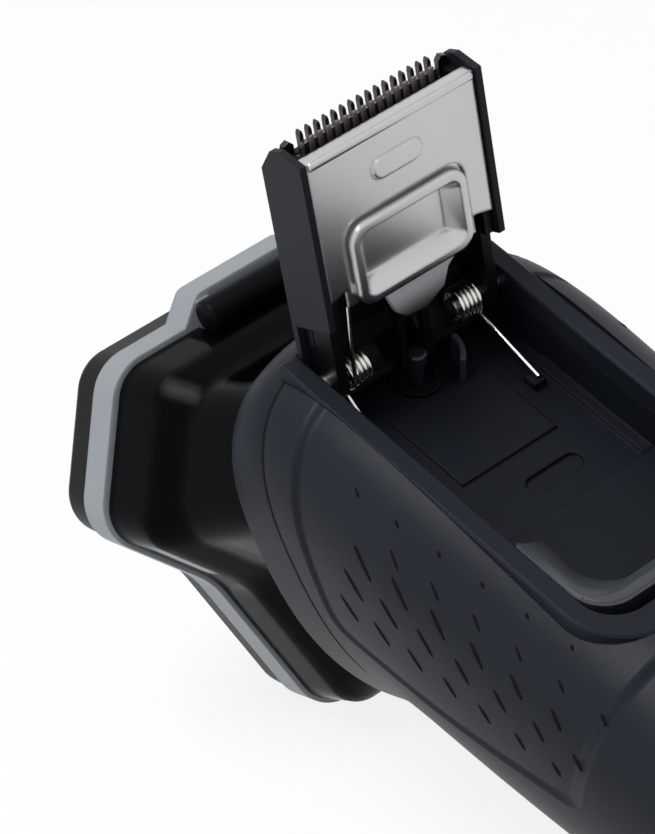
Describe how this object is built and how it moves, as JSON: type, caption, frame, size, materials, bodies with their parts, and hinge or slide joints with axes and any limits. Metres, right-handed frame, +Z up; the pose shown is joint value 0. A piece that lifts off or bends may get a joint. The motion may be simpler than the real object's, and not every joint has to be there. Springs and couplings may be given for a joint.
{
  "type": "electric shaver",
  "caption": "Rotary electric shaver lying on its front, with a tilted three-lobed head and its long-hair trimmer popped up from the back.",
  "frame": {"origin": "middle of the flat foot on the underside of the heel, which rests on the table", "axes": "+X from the head to the heel, +Z up from the table the shaver lies on, +Y across it; the body's back faces up"},
  "size_m": [0.1631, 0.0632, 0.0985],
  "materials": {
    "body_plastic": "dark blue-grey satin plastic",
    "bay_plastic": "matte dark blue-grey plastic",
    "slide_plastic": "finely sparkling grey plastic",
    "pin_plastic": "blue-grey plastic",
    "trimmer_plastic": "satin dark grey plastic",
    "black_plastic": "black plastic",
    "gloss_black": "polished black plastic",
    "cap_plastic": "satin black-brown plastic",
    "gear_plastic": "natural acetal",
    "silver": "satin silver with a fine sparkle",
    "steel": "satin stainless steel",
    "blade_steel": "ground dark steel",
    "spring_steel": "bright spring wire",
    "motor_steel": "plated can",
    "battery_wrap": "shrink-wrapped cell",
    "board_green": "green circuit board",
    "rubber": "black rubber"
  },
  "bodies": {
    "handle": {"front_shell": "body_plastic", "grip_shell": "body_plastic", "back_bezel": "body_plastic", "trimmer_bay": "bay_plastic", "neck_seal": "rubber", "head_base": "gloss_black", "gear_cover": "black_plastic", "hinge_barrel": "gloss_black", "head_hinge_pin": "steel", "motor": "motor_steel", "motor_mount": "rubber", "battery": "battery_wrap", "circuit_board": "board_green", "chassis": "black_plastic", "chassis_screw_1": "steel", "chassis_screw_2": "steel", "chassis_screw_3": "steel", "chassis_screw_4": "steel", "charging_socket": "black_plastic", "button_switch": "black_plastic", "left_spring": "spring_steel", "right_spring": "spring_steel", "left_pivot_pin": "steel", "right_pivot_pin": "steel", "pin_seal": "rubber", "drive_guard": "slide_plastic"},
    "trimmer": {"trimmer_cover": "trimmer_plastic", "trimmer_frame": "black_plastic", "trimmer_comb": "blade_steel", "trimmer_plate": "steel", "plate_tub": "steel"},
    "cutting_blade": {"moving_blade": "blade_steel", "drive_lever": "black_plastic"},
    "drive_pin": {"drive_pin": "pin_plastic"},
    "release_slide": {"release_slide": "slide_plastic"},
    "head_lid": {"head_band": "silver", "shaving_cap": "cap_plastic", "retaining_frame": "bay_plastic"},
    "motor_rotor": {"drive_shaft": "steel", "drive_pinion": "gear_plastic"},
    "power_button": {"power_button": "silver"},
    "guard_1": {"guard_1": "steel"},
    "cutter_1": {"cutter_1": "blade_steel"},
    "spindle_1": {"spindle_1": "gear_plastic", "gear_1": "gear_plastic"},
    "guard_2": {"guard_2": "steel"},
    "cutter_2": {"cutter_2": "blade_steel"},
    "spindle_2": {"spindle_2": "gear_plastic", "gear_2": "gear_plastic"},
    "guard_3": {"guard_3": "steel"},
    "cutter_3": {"cutter_3": "blade_steel"},
    "spindle_3": {"spindle_3": "gear_plastic", "gear_3": "gear_plastic"}
  },
  "joints": [
    {"name": "trimmer_hinge", "type": "hinge", "parent": "handle", "child": "trimmer", "pos_m": [-0.10673, 0, 0.06379], "axis": [0, 1, 0], "range_deg": [0, 102], "stiffness_Nm_per_rad": 0.012, "springref_deg": -17.19},
    {"name": "drive_pin_slide", "type": "slide", "parent": "handle", "child": "drive_pin", "axis": [0, 1, 0], "range_m": [-0.0008, 0.0008]},
    {"name": "blade_slide", "type": "slide", "parent": "trimmer", "child": "cutting_blade", "axis": [0, 1, 0], "range_m": [-0.0008, 0.0008]},
    {"name": "release_slide_move", "type": "slide", "parent": "handle", "child": "release_slide", "axis": [0.9659, 0, -0.2588], "range_m": [0, 0.0016], "stiffness_N_per_m": 250, "springref_m": -0.002},
    {"name": "lid_hinge", "type": "hinge", "parent": "handle", "child": "head_lid", "pos_m": [-0.13797, 0, 0.05805], "axis": [0, 1, 0], "range_deg": [0, 100]},
    {"name": "motor_spin", "type": "hinge", "parent": "handle", "child": "motor_rotor", "pos_m": [-0.12797, 0, 0.03422], "axis": [-0.9659, 0, -0.2588], "continuous": true},
    {"name": "power_button_press", "type": "slide", "parent": "handle", "child": "power_button", "axis": [0.2588, 0, 0.9659], "range_m": [0, 0.0008], "stiffness_N_per_m": 900, "springref_m": -0.0008},
    {"name": "spindle_spin_1", "type": "hinge", "parent": "handle", "child": "spindle_1", "pos_m": [-0.13336, 0, 0.0157], "axis": [-0.9659, 0, -0.2588], "continuous": true},
    {"name": "guard_float_1", "type": "slide", "parent": "head_lid", "child": "guard_1", "axis": [0.9659, 0, 0.2588], "range_m": [0, 0.0012], "stiffness_N_per_m": 300, "springref_m": -0.001},
    {"name": "cutter_spin_1", "type": "hinge", "parent": "guard_1", "child": "cutter_1", "pos_m": [-0.13336, 0, 0.0157], "axis": [-0.9659, 0, -0.2588], "continuous": true},
    {"name": "spindle_spin_2", "type": "hinge", "parent": "handle", "child": "spindle_2", "pos_m": [-0.13976, -0.01429, 0.03961], "axis": [-0.9659, 0, -0.2588], "continuous": true},
    {"name": "guard_float_2", "type": "slide", "parent": "head_lid", "child": "guard_2", "axis": [0.9659, 0, 0.2588], "range_m": [0, 0.0012], "stiffness_N_per_m": 300, "springref_m": -0.001},
    {"name": "cutter_spin_2", "type": "hinge", "parent": "guard_2", "child": "cutter_2", "pos_m": [-0.13976, -0.01429, 0.03961], "axis": [-0.9659, 0, -0.2588], "continuous": true},
    {"name": "spindle_spin_3", "type": "hinge", "parent": "handle", "child": "spindle_3", "pos_m": [-0.13976, 0.01429, 0.03961], "axis": [-0.9659, 0, -0.2588], "continuous": true},
    {"name": "guard_float_3", "type": "slide", "parent": "head_lid", "child": "guard_3", "axis": [0.9659, 0, 0.2588], "range_m": [0, 0.0012], "stiffness_N_per_m": 300, "springref_m": -0.001},
    {"name": "cutter_spin_3", "type": "hinge", "parent": "guard_3", "child": "cutter_3", "pos_m": [-0.13976, 0.01429, 0.03961], "axis": [-0.9659, 0, -0.2588], "continuous": true}
  ],
  "couplings": [
    {"joint": "blade_slide", "follows": "drive_pin_slide", "ratio": 1},
    {"joint": "spindle_spin_1", "follows": "motor_spin", "ratio": -0.83333},
    {"joint": "cutter_spin_1", "follows": "motor_spin", "ratio": -0.83333},
    {"joint": "spindle_spin_2", "follows": "motor_spin", "ratio": -0.83333},
    {"joint": "cutter_spin_2", "follows": "motor_spin", "ratio": -0.83333},
    {"joint": "spindle_spin_3", "follows": "motor_spin", "ratio": -0.83333},
    {"joint": "cutter_spin_3", "follows": "motor_spin", "ratio": -0.83333}
  ]
}
